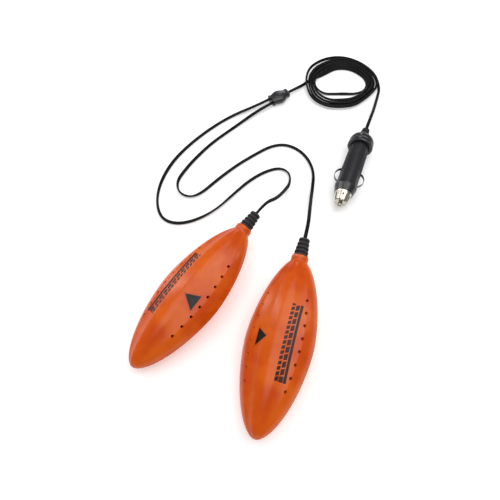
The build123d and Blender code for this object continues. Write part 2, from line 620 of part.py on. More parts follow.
def plug_pieces():
    return {
        "plug_relief": plug_relief(), "plug_cap": plug_cap(), "plug_barrel": plug_barrel(),
        "nose_ring": nose_ring(), "nose_cone": nose_cone(), "contact_pin": contact_pin(),
        "fuse_glass": fuse_glass(), "fuse_caps": fuse_caps(), "fuse_wire": fuse_wire(),
        "contact_sleeve": contact_sleeve(), "rear_contact": rear_contact(), "pin_spring": pin_spring(),
        "ground_band": ground_band(), "plug_wires": plug_wires(),
        "side_contact_left": side_contact(-1), "side_contact_right": side_contact(1),
    }


# ---- splitter, built along +X from its two-lead end ----
def splitter_outline():
    end, flange, neck = SPLITTER_LENGTH, SPLITTER_FLANGE, SPLITTER_NECK
    twin, single = SPLITTER_TWIN_END, SPLITTER_SINGLE_END
    points = [(0, 0), (0, twin), (flange, twin), (flange, twin - neck), (flange + 1.2, twin - neck)]
    edges = Polyline(*points)
    far = (end - flange - 1.2, single - neck)
    edges += ThreePointArc(points[-1], (end * 0.48, SPLITTER_WIDE), far)
    edges += Polyline(far, (end - flange, single - neck), (end - flange, single), (end, single), (end, 0), (0, 0))
    half = make_face(edges)
    return half + mirror(half, Plane.XZ)


def splitter_pieces():
    half = SPLITTER_THICK / 2
    pocket = Pos(SPLITTER_LENGTH * 0.48, 0, half) * Box(CRIMP_LENGTH + 2, 4 * CRIMP_RADIUS + 3.6, 2 * CRIMP_RADIUS + 0.8)
    lower = extrude(splitter_outline(), half)
    lower = chamfer(lower.faces().sort_by(Axis.Z)[0].edges(), 0.6) - pocket
    upper = extrude(Pos(0, 0, half) * splitter_outline(), half)
    upper = chamfer(upper.faces().sort_by(Axis.Z)[-1].edges(), 0.6) - pocket
    start = SPLITTER_LENGTH * 0.48 - CRIMP_LENGTH / 2
    crimps = [rod_x(CRIMP_RADIUS, start, start + CRIMP_LENGTH, s * (CRIMP_RADIUS + 0.9), half) for s in (1, -1)]
    return {"splitter_lower": lower, "splitter_upper": upper, "splitter_crimps": crimps}


# ---- leads ----
def corner_radii(points):
    """The largest arc that each corner's two runs leave room for."""
    radii = []
    for before, corner, after in zip(points, points[1:], points[2:]):
        into, out = corner - before, after - corner
        turn = math.radians(into.get_angle(out))
        radii.append(0.45 * min(into.length, out.length) / math.tan(turn / 2))
    return radii


def lead(name, points):
    """A round tube along straight runs joined by tangent arcs."""
    points = [Vector(*point) for point in points]
    radii = corner_radii(points)
    path = FilletPolyline(*points, radius=radii)
    solid = sweep(Plane(origin=path @ 0, z_dir=path % 0) * Circle(CORD / 2), path=path)
    share = solid.volume / (math.pi * CORD**2 / 4 * path.length)
    print(f"{name}: length {path.length:.0f} mm, tightest {min(radii):.1f} mm, volume share {share:.3f}")
    print("   radii", " ".join(f"{radius:.0f}" for radius in radii))
    return solid


def cord_coil():
    """The wound lead as one oval ring of the bundle's outer shape."""
    outer = extrude(Ellipse(*COIL_OUTER), COIL_HEIGHT)
    inner = extrude(Ellipse(*COIL_INNER), COIL_HEIGHT)
    ring = outer - inner
    return Pos(*COIL_CENTRE, 0) * chamfer(ring.faces().sort_by(Axis.Z)[-1].edges(), COIL_EDGE)


def dryer_location(side, body):
    """Where a heater lies: turned to its heading, pitch and roll, and let down onto the surface."""
    x, y, heading, pitch, roll = PLACES[side]
    turned = Rot(Z=heading) * Rot(Y=pitch) * Rot(X=roll)
    low = (turned * body).bounding_box().min.Z
    return Pos(x, y, -low) * turned


def plug_location():
    """The plug lies on the rims of its cap and its nose ring."""
    dip = math.asin((CAP_RADIUS - NOSE_RADIUS) / (BARREL_END + 1.4 - (CAP_LENGTH - CAP_RIM)))
    heading = math.radians(PLUG_HEADING)
    axis = Vector(math.cos(heading) * math.cos(dip), math.sin(heading) * math.cos(dip), -math.sin(dip))
    rim = CAP_LENGTH - CAP_RIM
    height = CAP_RADIUS / math.cos(dip) + rim * math.sin(dip)
    side = Vector(math.sin(heading), -math.cos(heading), 0)
    return Plane(origin=(*PLUG_BACK, height), x_dir=side, z_dir=axis).location


def tip_of(location, point):
    return (location * Pos(*point)).position


def main():
    os.makedirs("parts", exist_ok=True)
    nodes = {}
    pieces = dryer_pieces()
    ends = {}
    outline = lens(0.0, OUTER_SHARES)
    for side in PLACES:
        place = dryer_location(side, outline)
        ends[side] = tip_of(place, (RELIEF_TIP, 0, 0))
        print(side, "heater middle", place.position, "relief end", ends[side])
        for name, shape in pieces.items():
            solids = shape if isinstance(shape, list) else [shape]
            nodes[f"{side}_{name}"] = [place * solid for solid in solids]
    place = plug_location()
    ends["plug"] = tip_of(place, (0, 0, -PLUG_RELIEF_LENGTH))
    print("plug back", place.position, "axis", Plane(place).z_dir, "relief end", ends["plug"])
    for name, shape in plug_pieces().items():
        solids = shape if isinstance(shape, list) else [shape]
        nodes[name] = [place * solid for solid in solids]
    place = Pos(*SPLITTER_AT, 0) * Rot(Z=SPLITTER_HEADING)
    middle = SPLITTER_THICK / 2
    twin = {s: tip_of(place, (0, s * SPLITTER_LEADS, middle)) for s in (1, -1)}
    single = tip_of(place, (SPLITTER_LENGTH, 0, middle))
    print("splitter ends", twin[1], twin[-1], single)
    for name, shape in splitter_pieces().items():
        solids = shape if isinstance(shape, list) else [shape]
        nodes[name] = [place * solid for solid in solids]
    nodes["cord_left"] = [lead("cord_left", [ends["left"], *LEFT_ROUTE, twin[1]])]
    nodes["cord_right"] = [lead("cord_right", [ends["right"], *RIGHT_ROUTE, twin[-1]])]
    nodes["cord_splitter"] = [lead("cord_splitter", [single, *SPLITTER_ROUTE, SPLITTER_ROUTE_END])]
    nodes["cord_plug"] = [lead("cord_plug", [PLUG_ROUTE_START, *PLUG_ROUTE, ends["plug"]])]
    nodes["cord_coil"] = [cord_coil()]
    for name, shapes in nodes.items():
        solids = [solid for shape in shapes for solid in shape.solids()]
        export_step(Compound(children=solids) if len(solids) > 1 else solids[0], f"parts/{name}.step")
    shown = [nodes[f"{side}_{name}"] for side in PLACES for name in ("lower_shell", "upper_shell", "strain_relief")]
    box = Compound(children=[shape for shapes in shown for shape in shapes]).bounding_box()
    print("heaters' box", box.min, box.max)


if __name__ == "__main__":
    main()
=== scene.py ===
"""Boot dryer: two heated inserts on a twin lead, with a splitter, a coil of lead and a car plug.

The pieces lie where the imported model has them. Lengths are in millimetres, except in the routes of the leads
and on the stage, where they are in metres.
"""
import json
import math

import bmesh
import bpy
from bpy.props import FloatProperty, FloatVectorProperty, IntProperty, PointerProperty
from mathutils import Euler, Matrix, Vector


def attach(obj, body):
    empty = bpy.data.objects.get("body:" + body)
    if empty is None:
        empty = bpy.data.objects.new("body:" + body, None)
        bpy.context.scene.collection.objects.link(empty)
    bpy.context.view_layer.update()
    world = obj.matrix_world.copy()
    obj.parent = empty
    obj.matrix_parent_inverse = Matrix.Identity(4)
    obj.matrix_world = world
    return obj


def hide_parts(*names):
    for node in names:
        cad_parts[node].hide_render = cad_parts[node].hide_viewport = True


bl_info = {
    "name": "Boot dryer",
    "version": (1, 0, 0),
    "blender": (4, 5, 0),
    "location": "3D View > Sidebar > Dryer",
    "description": "Builds the looks of a pair of boot dryers with a car plug round their packed frame",
    "category": "Add Mesh",
}

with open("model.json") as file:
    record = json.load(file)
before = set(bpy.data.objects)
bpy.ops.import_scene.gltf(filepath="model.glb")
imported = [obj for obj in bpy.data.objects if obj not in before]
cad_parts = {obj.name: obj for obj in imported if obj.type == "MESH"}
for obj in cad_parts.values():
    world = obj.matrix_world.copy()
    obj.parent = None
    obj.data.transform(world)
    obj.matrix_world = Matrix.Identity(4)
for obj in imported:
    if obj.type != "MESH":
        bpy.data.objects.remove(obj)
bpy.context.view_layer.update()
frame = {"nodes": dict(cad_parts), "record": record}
MM = 0.001
METRES = Matrix.Scale(MM, 4)
SIDES = ("left", "right")

# ---- heater shells, in their own frame: +X towards the tip, parting plane at z = 0 ----
HALF_LENGTH = 70.5
WIDTH_POWER = 1.68
WIDTH_FULLNESS = 0.57
WALL = 1.8
NECK_X = -67.5
NECK_RADIUS = 7.0
NECK_BLEND = (-68.2, 4.4)
TIP_SHARE = 0.9993
OUTER_STEPS = 50
INNER_STEPS = 15
INNER_STEP_ANGLE = 12
COLLAR = ((-70.9, 6.5), (-70.4, NECK_RADIUS), (-69.2, NECK_RADIUS), (-68.0, NECK_RADIUS))
NECK_BORE = 4.1
BORE_MIDDLE = -67.0
INNER_END = 63.45
PARTING = Vector((1.0, 0.0))
RIDGE = Vector((0.71, 0.63))
CREST_FOOT = Vector((0.27, 0.92))
CREST = Vector((0.0, 1.0))
CREST_VIA = Vector((0.137, 0.978))
SIDE_VIA = Vector((0.905, 0.345))
FLAT_VIA = Vector((0.49, 0.748))
VENT_FIRST = -33.0
VENT_PITCH = 9.7
VENT_SINK = 0.35
VENT_REACH = (-5.0, -0.75, -0.25, 3.0)
SHELL_SCREWS = ((-44.0, 11.0), (-44.0, -11.0), (52.0, 0.0))
SCREW_SEAT = -5.0
BOSS_RADIUS = 3.0
WELL_RADIUS = 2.4
SHANK_RADIUS = 1.2
BELOW = -30.0
SEAM_REACH = (-66, 69)
PLACES = {
    "left": ((-26.7, 17.5, 18.7202), (9.0, 6.5, -127.0)),
    "right": ((42.3, -21.5, 18.7345), (13.0, 6.5, -105.5)),
}

# ---- marks on the shells: the band's side of the crest, and where it and the triangle lie ----
MARKS = {
    "left": {
        "band": (-1, 7.6, 15.2),
        "along": (-28.0, 30.5),
        "corners": ((12.6, 15.4), (4.4, 4.6), (-1.6, 15.4)),
    },
    "right": {
        "band": (1, 6.6, 14.4),
        "along": (-28.0, 29.8),
        "corners": ((-5.4, -14.2), (8.8, -14.2), (0.4, -6.2)),
    },
}
HATCH_LEAN = 0.45
LOW_HATCH = (3.7, 0.5, 3.2)
HIGH_HATCH = (5.3, 0.4, 4.7)
HIGH_HATCH_SHIFT = 1.6
HATCH_TALL = 2.3
HATCH_GAP = 2.9
HATCH_LINE = 1.9
HATCH_CLEAR = 2.4
HATCH_BLOCK = 4.4

# ---- plug and splitter ----
PLUG_AT = Vector((132.7, 187.0, 12.6671))
PLUG_AXIS = Vector((-0.364641, -0.930455, -0.035917))
PLUG_HEADING = math.radians(-111.4)
SPLITTER_AT = Vector((42.8, 246.0, 0.0))
SPLITTER_HEADING = math.radians(34.3)
SPLITTER_MIDDLE = 4.0
SPLITTER_SQUARENESS = 0.68
SPLITTER_SIDES = 40
SPLITTER_RINGS = (
    (0.0, 5.7, 3.3), (0.4, 6.4, 4.0), (1.8, 6.4, 4.0), (2.2, 5.7, 3.3), (4.4, 6.3, 3.5), (7.4, 7.5, 3.85),
    (10.5, 8.0, 4.0), (13.5, 7.4, 3.8), (16.5, 5.9, 3.4), (19.4, 4.3, 3.0), (19.8, 5.0, 3.7),
    (21.6, 5.0, 3.7), (22.0, 4.4, 3.1),
)
OVAL_AT = (10.4, 0.0, 7.75)
OVAL_STRETCH = (1.15, 0.92, 1.0, 1.0)
OVAL_PROFILE = ((-1.5, 4.6), (0.15, 4.6), (0.4, 4.3), (0.5, 3.8))
RELIEF_LENGTH = 16.0
RELIEF_WAIST = 4.0
CAP_PROFILE = (
    (0.0, 6.0), (0.9, 7.9), (2.2, 9.5), (3.9, 10.9), (6.0, 11.8), (8.4, 12.15), (9.5, 12.0), (9.8, 11.75),
    (10.1, 12.1), (10.5, 12.3), (13.7, 12.3), (14.3, 12.0), (14.5, 11.5), (14.5, 9.6), (14.2, 9.2),
    (14.2, 7.9), (6.0, 7.9),
)
GRIP_LINES = 5
GRIP_FIRST = 38
GRIP_PITCH = 9
GRIP_AT = (0, -9.42, 34.0)
GRIP_SIZE = (0.7, 0.7, 36.0, 1.0)
BARREL_LEAN = math.atan2(0.8, 47.0)

# ---- leads, in metres: x, y, height (None where it lies on the floor) and the tilt of the flat lead ----
TWIN_END_LEFT = (0.0410531, 0.248561, 0.004)
TWIN_END_RIGHT = (0.0445469, 0.243439, 0.004)
SINGLE_END = (0.0609742, 0.258398, 0.004)
LEFT_EXIT = (0.0252615, 0.0864553, 0.0285576)
RIGHT_EXIT = (0.0653737, 0.0617012, 0.0285718)
PLUG_EXIT = (0.136346, 0.196305, 0.0130263)
LEFT_ROUTE = (
    (*LEFT_EXIT, 80), (0.0336, 0.0976, 0.0301, 85), (0.0438, 0.1086, 0.0200, 30),
    (0.0525, 0.1255, 0.0080, 0), (0.0588, 0.1385, None, 70), (0.0593, 0.1515, None, 80),
    (0.0503, 0.1585, None, 15), (0.0353, 0.1540, None, 0), (0.0193, 0.1425, None, 5),
    (0.0053, 0.1275, None, 30), (-0.0117, 0.1085, None, 60), (-0.0307, 0.0970, None, 10),
    (-0.0487, 0.0935, None, 0), (-0.0627, 0.1005, None, 40), (-0.0682, 0.1215, None, 88),
    (-0.0647, 0.1465, None, 45), (-0.0527, 0.1735, None, 5), (-0.0287, 0.2025, None, 0),
    (-0.0007, 0.2270, None, 0), (0.0278, 0.2395, 0.0040, 0), (*TWIN_END_LEFT, 0),
)
RIGHT_ROUTE = (
    (*RIGHT_EXIT, 0), (0.0691, 0.0751, 0.0301, 0), (0.0728, 0.0965, 0.0200, 5),
    (0.0769, 0.1175, 0.0080, 5), (0.0803, 0.1345, None, 10), (0.0828, 0.1525, None, 45),
    (0.0783, 0.1695, None, 10), (0.0693, 0.1815, None, 0), (0.0563, 0.1885, None, 0),
    (0.0413, 0.1860, None, 5), (0.0243, 0.1745, None, 0), (0.0073, 0.1615, None, 10),
    (-0.0107, 0.1445, None, 0), (-0.0267, 0.1270, None, 15), (-0.0377, 0.1230, None, 70),
    (-0.0477, 0.1285, None, 85), (-0.0502, 0.1410, None, 70), (-0.0447, 0.1535, None, 10),
    (-0.0337, 0.1705, None, 45), (-0.0177, 0.1905, None, 75), (0.0048, 0.2115, None, 70),
    (0.0313, 0.2344, 0.0040, 10), (*TWIN_END_RIGHT, 0),
)
TO_COIL = (
    (*SINGLE_END, 0), (0.0717, 0.2657, 0.0040, 10), (0.0788, 0.2720, 0.0024, 60),
    (0.0843, 0.2790, None, 20), (0.0925, 0.2845, None, 5),
)
TO_PLUG = (
    (0.1626, 0.2670, None, 50), (0.1591, 0.2560, None, 40), (0.1558, 0.2465, 0.0030, 30),
    (0.1498, 0.2295, 0.0080, 20), (0.1422, 0.2106, 0.0135, 5), (*PLUG_EXIT, 0),
)
COIL_CENTRE = Vector((122.3, 276.5))
COIL_START = 150.0
COIL_TURNS = 6.42
TURN_POINTS = 16
SPLINE_SHRINK = 1.02
COMPASS = 45.0
INNER_EDGE = (25.7, 22.7, 21.6, 19.7, 28.5, 28.0, 22.0, 22.5)
OUTER_EDGE = (41.5, 40.0, 42.0, 41.5, 41.0, 44.6, 39.5, 34.7)
COIL_TILTS = (55.0, 45.0, 35.0, 60.0, 75.0, 20.0, -20.0, 15.0)
SPREAD = (
    (0, 0), (1, 0.10), (2, 0.30), (3, 0.44), (4, 0.58),
    (4.8, 0.69), (5.17, 0.76), (5.42, 0.92), (5.8, 1), (7, 1),
)
CHORD = 16.3
CHORD_TURNS = 0.92
BESIDE = 1.6
STACK = 1.9
STACK_FROM = 0.7
HUMP = 1.8
HUMP_FROM = 0.8
HUMP_BEARING = 170
HUMP_FLAT = 14
HUMP_SLOPE = 22
SWAY = 9
SWAY_RATE = 5.3
LEAD_CORE = 0.85
LEAD_OFFSET = 0.75

# ---- stage: the floor, the lights and the camera, in metres ----
FLOOR_SIZE = 3.0
FLOOR_DROP = 0.0003
FLOOR_GLOW = 0.36
WORLD_STRENGTH = 0.22
LIT_MIDDLE = Vector((0.03, 0.08, 0.0))
SOFTBOXES = (
    ("key_softbox", (0.80, 0.20, 0.85), 0.16, 1.1, 0.55),
    ("left_strip", (-0.80, 0.55, 0.10), 0.9, 0.08, 0.15),
    ("crest_strip", (-0.72, 0.62, 0.60), 0.12, 0.9, 0.7),
    ("back_strip", (0.16, 1.05, 0.42), 0.18, 0.30, 0.25),
)
OVERHEAD_SPREAD = math.radians(60)
OVERHEAD_TURN = (math.radians(-4), math.radians(4), 0)
CAMERA_AT = (0.0203, -0.1157, 0.3439)
CAMERA_TURN = (math.radians(28), 0, 0)
CAMERA_LENS = 31.56
CAMERA_SENSOR = 36.0
CAMERA_NEAR = 0.01


def paint(red, green, blue):
    """A linear colour from the three numbers of a paint chart, 0 to 255."""
    return tuple(((part / 255 + 0.055) / 1.055) ** 2.4 if part > 10 else part / 255 / 12.92
                 for part in (red, green, blue))


def rgba(colour):
    return (*colour[:3], 1.0)


def smooth(share):
    """A soft step from 0 to 1."""
    share = min(max(share, 0.0), 1.0)
    return share * share * (3 - 2 * share)


# ---- shader maths ----
class Level:
    """A number that varies over a surface. Python's operators on it add Math nodes."""

    def __init__(self, finish, socket):
        self.finish = finish
        self.socket = socket

    def math(self, operation, *values):
        sockets = dict(zip(("Value", "Value_001", "Value_002"), values))
        node = self.finish.node("ShaderNodeMath", {"operation": operation}, sockets)
        return Level(self.finish, node.outputs[0])

    def __add__(self, other):
        return self.math("ADD", self, other)

    __radd__ = __add__

    def __sub__(self, other):
        return self.math("SUBTRACT", self, other)

    def __rsub__(self, other):
        return self.math("SUBTRACT", other, self)

    def __mul__(self, other):
        return self.math("MULTIPLY", self, other)

    __rmul__ = __mul__

    def __mod__(self, other):
        return self.math("FLOORED_MODULO", self, other)

    def step(self, low, high):
        """Rises softly from 0 at low to 1 at high, or falls where high is the smaller."""
        ends = {"Value": self, "From Min": low, "From Max": high}
        settings = {"interpolation_type": "SMOOTHSTEP"}
        if high < low:
            return 1 - self.step(high, low)
        return Level(self.finish, self.finish.node("ShaderNodeMapRange", settings, ends).outputs[0])

    def inside(self, low, high, soft=0.15):
        """1 between low and high, with soft edges."""
        return self.step(low - soft, low + soft) * self.step(high + soft, high - soft)


class Finish:
    """A material made of nodes on Object coordinates."""

    def __init__(self, name):
        self.material = bpy.data.materials.new(name)
        self.material.use_nodes = True
        self.tree = self.material.node_tree
        self.tree.nodes.clear()
        self.place = self.level("ShaderNodeTexCoord", output="Object")

    def node(self, kind, settings=None, values=None):
        """Adds a node: its settings first, then the values or links of its sockets."""
        node = self.tree.nodes.new(kind)
        for key, value in (settings or {}).items():
            setattr(node, key, value)
        for key, value in (values or {}).items():
            socket = next(s for s in node.inputs if s.identifier == key)
            if isinstance(value, Level):
                self.tree.links.new(value.socket, socket)
            else:
                socket.default_value = value
        return node

    def level(self, kind, settings=None, values=None, output=0):
        return Level(self, self.node(kind, settings, values).outputs[output])

    def noise(self, scale, detail=3.0, place=None, rough=0.55):
        values = {"Vector": place or self.place, "Scale": scale, "Detail": detail, "Roughness": rough}
        return self.level("ShaderNodeTexNoise", None, values)

    def mix(self, share, first, second):
        values = {"Factor_Float": share, "A_Color": first, "B_Color": second}
        node = self.node("ShaderNodeMix", {"data_type": "RGBA"}, values)
        return Level(self, next(s for s in node.outputs if s.identifier == "Result_Color"))

    def bump(self, height, distance, strength=1.0):
        values = {"Height": height, "Distance": distance, "Strength": strength}
        return self.level("ShaderNodeBump", None, values)

    def plastic(self, **sockets):
        """Ends the material with a Principled shader."""
        values = {key.replace("_", " "): value for key, value in sockets.items()}
        shader = self.node("ShaderNodeBsdfPrincipled", None, values)
        output = self.node("ShaderNodeOutputMaterial")
        self.tree.links.new(shader.outputs[0], output.inputs["Surface"])
        return self.material


def edge_step(x, y, start, end, soft=0.12):
    """1 on the left of the line from start to end, in the pattern's own x and y."""
    run = Vector(end) - Vector(start)
    across = Vector((-run.y, run.x)).normalized()
    away = x * across.x + y * across.y - across.dot(Vector(start))
    return away.step(-soft, soft)


def triangle(x, y, corners, soft=0.12):
    """1 inside a triangle whose corners run anticlockwise."""
    first, second, third = corners
    return (edge_step(x, y, first, second, soft) * edge_step(x, y, second, third, soft)
            * edge_step(x, y, third, first, soft))


def shrunk(corners, share):
    """A triangle's corners drawn in towards its middle."""
    middle = sum((Vector(c) for c in corners), Vector((0.0, 0.0))) / 3
    return [tuple(middle.lerp(Vector(c), share)) for c in corners]


def anticlockwise(corners):
    a, b, c = (Vector(corner) for corner in corners)
    return corners if (b - a).cross(c - a) > 0 else corners[::-1]


def shell_finish(side, looks):
    """Orange moulded plastic with a printed hatch band on one flank and a dark triangle with a painted sheen
    on the other.
    """
    finish = Finish(f"orange_shell_{side}")
    at, turn = PLACES[side]
    turned_place = finish.level("ShaderNodeMapping", {"vector_type": "TEXTURE"}, {
        "Vector": finish.place, "Location": [MM * part for part in at],
        "Rotation": [math.radians(part) for part in turn], "Scale": (MM, MM, MM)})
    parts = finish.node("ShaderNodeSeparateXYZ", None, {"Vector": turned_place})
    x, y, z = (Level(finish, parts.outputs[key]) for key in "XYZ")
    cloud = finish.noise(0.045, 2.0, turned_place)
    mottle = finish.noise(0.6, 4.0, turned_place)
    grain = finish.noise(3.0, 2.0, turned_place)
    base = finish.mix(cloud.step(0.3, 0.75), rgba(looks.shell_colour), rgba(looks.shell_deep_colour))
    base = finish.mix(mottle.step(0.4, 0.8) * 0.08, base, rgba(paint(236, 116, 40)))
    seam = z.inside(-0.28, 0.28, 0.1)
    base = finish.mix(seam * 0.55, base, rgba(paint(140, 45, 10)))

    marks = MARKS[side]
    sign, near, far = marks["band"]
    start, end = marks["along"]
    out = y * sign
    upper = z.step(0.5, 1.0)
    worn = 1 - mottle.step(0.6, 0.9) * 0.4
    line = out.inside(far - HATCH_LINE, far, 0.15) * x.inside(start, end)
    leaning = x + out * HATCH_LEAN
    low_pitch, low_from, low_to = LOW_HATCH
    low_row = (leaning % low_pitch).inside(low_from, low_to, 0.15)
    low_row = low_row * out.inside(near, near + HATCH_TALL, 0.12)
    high_pitch, high_from, high_to = HIGH_HATCH
    high_row = ((leaning + HIGH_HATCH_SHIFT) % high_pitch).inside(high_from, high_to, 0.15)
    high_row = high_row * out.inside(near + HATCH_GAP, far - HATCH_CLEAR, 0.12)
    band = (low_row + high_row) * x.inside(start, end) * upper
    block = x.inside(end - HATCH_BLOCK, end, 0.1) * out.inside(near, far, 0.1) * upper * 0.55
    corners = anticlockwise(marks["corners"])
    sign_dark = triangle(x, y, shrunk(corners, 0.97)) * upper
    sign_edge = (triangle(x, y, shrunk(corners, 1.22)) - triangle(x, y, shrunk(corners, 1.10))) * upper
    # painted sheen: a soft pale grey patch in the triangle's middle stands in for light reflected off the dark
    # print
    sign_painted_sheen = triangle(x, y, shrunk(corners, 0.42), 0.9) * upper
    colour = finish.mix(band * worn, base, rgba(looks.band_colour))
    colour = finish.mix(block * worn, colour, rgba(paint(58, 18, 10)))
    colour = finish.mix(line * upper * worn, colour, rgba(paint(40, 8, 3)))
    colour = finish.mix(sign_edge * 0.35, colour, rgba(paint(120, 40, 18)))
    colour = finish.mix(sign_dark, colour, rgba(paint(14, 6, 6)))
    # mixes in the painted sheen on the triangle, a reflection of light painted into its colour
    colour = finish.mix(sign_painted_sheen * 0.2, colour, rgba(paint(58, 58, 60)))
    printed = (band + sign_dark + line * upper) * 0.10
    rough = looks.shell_roughness + mottle.step(0.3, 0.8) * 0.05 + printed
    height = grain * 0.2 + mottle * 0.3 + printed * 2.0
    return finish.plastic(Base_Color=colour, Roughness=rough, IOR=1.47, Specular_IOR_Level=0.33,
                          Normal=finish.bump(height, 0.000008, 0.35))


def mixed_finish(name, low, high, rough, metallic=0.0, scale=400.0, depth=0.00002, shine=0.5):
    """A finish whose colour, roughness and height follow a cloudy and a fine noise."""
    finish = Finish(name)
    cloud = finish.noise(scale * 0.12, 3.0)
    fine = finish.noise(scale * 4.0, 4.0, rough=0.6)
    wear = cloud.step(0.3, 0.75)
    colour = finish.mix(wear * 0.75 + fine * 0.25, rgba(low), rgba(high))
    gloss = rough[0] + (rough[1] - rough[0]) * wear + fine * 0.05
    return finish.plastic(Base_Color=colour, Metallic=metallic, Roughness=gloss, Specular_IOR_Level=shine,
                          Normal=finish.bump(fine + cloud * 0.5, depth, 0.7))


def glass_finish():
    finish = Finish("fuse_glass")
    smear = finish.noise(900.0, 3.0)
    return finish.plastic(Base_Color=finish.mix(smear, (0.92, 0.96, 0.95, 1.0), (0.84, 0.9, 0.89, 1.0)),
                          Roughness=0.03 + smear.step(0.4, 0.8) * 0.12, IOR=1.5, Transmission_Weight=0.85)


# ---- mesh tools ----
def add_piece(bm, name, material, place=None, nodes=(), body="root", sharp=35.0):
    """Turns a bmesh in millimetres into a piece that rides on a body."""
    bm.transform((METRES @ place) if place else METRES)
    mesh = bpy.data.meshes.new(name)
    bm.to_mesh(mesh)
    bm.free()
    mesh.shade_smooth()
    mesh.set_sharp_from_angle(angle=math.radians(sharp))
    mesh.materials.append(material)
    piece = bpy.data.objects.new(name, mesh)
    bpy.context.collection.objects.link(piece)
    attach(piece, body)
    if nodes:
        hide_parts(*nodes)
    return piece


def turned(profile, steps=56):
    """A closed solid turned about Z, from (height, radius) points."""
    bm = bmesh.new()
    outline = [(profile[0][0], 0.0), *profile, (profile[-1][0], 0.0)]
    verts = [bm.verts.new((radius, 0.0, height)) for height, radius in outline]
    edges = [bm.edges.new(pair) for pair in zip(verts, verts[1:])]
    bmesh.ops.spin(bm, geom=[*verts, *edges], cent=(0, 0, 0), axis=(0, 0, 1), angle=math.tau, steps=steps,
                   use_merge=True)
    bmesh.ops.remove_doubles(bm, verts=bm.verts, dist=0.001)
    bmesh.ops.recalc_face_normals(bm, faces=bm.faces)
    return bm


def soften(bm, offset, angle=25.0, segments=2):
    """Rounds every edge that turns by more than an angle."""
    edges = [e for e in bm.edges if e.is_manifold and e.calc_face_angle() > math.radians(angle)]
    bmesh.ops.bevel(bm, geom=edges, offset=offset, offset_type="OFFSET", segments=segments, profile=0.5,
                    affect="EDGES", material=-1, clamp_overlap=True)
    return bm


def combined(base, tool, operation):
    """Joins, cuts or crosses two closed bmeshes, and gives the result."""
    objects = []
    for bm in (base, tool):
        mesh = bpy.data.meshes.new("part")
        bm.to_mesh(mesh)
        bm.free()
        objects.append(bpy.data.objects.new("part", mesh))
        bpy.context.collection.objects.link(objects[-1])
    modifier = objects[0].modifiers.new("join", "BOOLEAN")
    modifier.operation = operation
    modifier.object = objects[1]
    modifier.solver = "EXACT"
    modifier.use_self = operation == "UNION"
    evaluated = objects[0].evaluated_get(bpy.context.evaluated_depsgraph_get())
    result = bmesh.new()
    result.from_mesh(evaluated.to_mesh())
    evaluated.to_mesh_clear()
    for piece in objects:
        mesh = piece.data
        bpy.data.objects.remove(piece)
        bpy.data.meshes.remove(mesh)
    return result


def merge(parts):
    """One bmesh of several."""
    whole = bmesh.new()
    for part in parts:
        mesh = bpy.data.meshes.new("part")
        part.to_mesh(mesh)
        part.free()
        whole.from_mesh(mesh)
        bpy.data.meshes.remove(mesh)
    return whole


def rod(radius, bottom, top, x=0.0, y=0.0, steps=28):
    """A plain upright cylinder that cuts or joins another solid."""
    bm = bmesh.new()
    bmesh.ops.create_cone(bm, cap_ends=True, segments=steps, radius1=radius, radius2=radius,
                          depth=top - bottom, matrix=Matrix.Translation((x, y, (bottom + top) / 2)))
    return bm


# ---- heater shells ----
def half_width(x, looks):
    share = min(abs(x) / HALF_LENGTH, 0.9999)
    return looks.shell_width / 2 * (1 - share**WIDTH_POWER) ** WIDTH_FULLNESS


def half_height(x, height):
    share = min(abs(x) / HALF_LENGTH, 0.9999)
    return height * math.sqrt(1 - share * share)


def section_outline():
    """The ridged outline of a shell, as shares of its half width and height, anticlockwise."""
    def bow(start, via, end, count):
        points = []
        for number in range(count):
            t = number / count
            points.append(start * (1 - t) * (1 - 2 * t) + via * 4 * t * (1 - t) + end * t * (2 * t - 1))
        return points

    quarter = bow(PARTING, SIDE_VIA, RIDGE, 6) + bow(RIDGE, FLAT_VIA, CREST_FOOT, 5)
    quarter += bow(CREST_FOOT, CREST_VIA, CREST, 3)
    outline = quarter + [Vector((-p.x, p.y)) for p in reversed(quarter[1:])]
    outline = [*outline[:len(quarter)], CREST, *outline[len(quarter):], Vector((-1.0, 0.0))]
    outline += [Vector((p.x, -p.y)) for p in reversed(outline[1:-1])]
    cut = []
    for here, there in zip(outline, outline[1:] + outline[:1]):
        cut += [here.lerp(there, 0.25), here.lerp(there, 0.75)]
    return cut


def stations(looks, hollow):
    """Each ring of the skin: x, half width, upper and lower height, and its circle's radius and share."""
    rings = []
    first = math.asin(TIP_SHARE)
    last = math.asin(NECK_X / HALF_LENGTH)
    for number in range(OUTER_STEPS + 1):
        x = HALF_LENGTH * math.sin(first + (last - first) * number / OUTER_STEPS)
        share = 1 - smooth((x - NECK_BLEND[0]) / NECK_BLEND[1])
        rings.append((x, half_width(x, looks), half_height(x, looks.upper_height),
                      half_height(x, looks.lower_height), NECK_RADIUS, share))
    for x, radius in reversed(COLLAR):
        rings.append((x, 1.0, 1.0, 1.0, radius, 1.0))
    if hollow:
        for x in (COLLAR[0][0], BORE_MIDDLE, -INNER_END):
            rings.append((x, 1.0, 1.0, 1.0, NECK_BORE, 1.0))
        for number in range(INNER_STEPS):
            angle = INNER_STEP_ANGLE * (number - (INNER_STEPS - 1) // 2)
            x = INNER_END * math.sin(math.radians(angle))
            rings.append((x, half_width(x, looks) - WALL, half_height(x, looks.upper_height) - WALL,
                          half_height(x, looks.lower_height) - WALL, NECK_RADIUS, 0.0))
    return rings


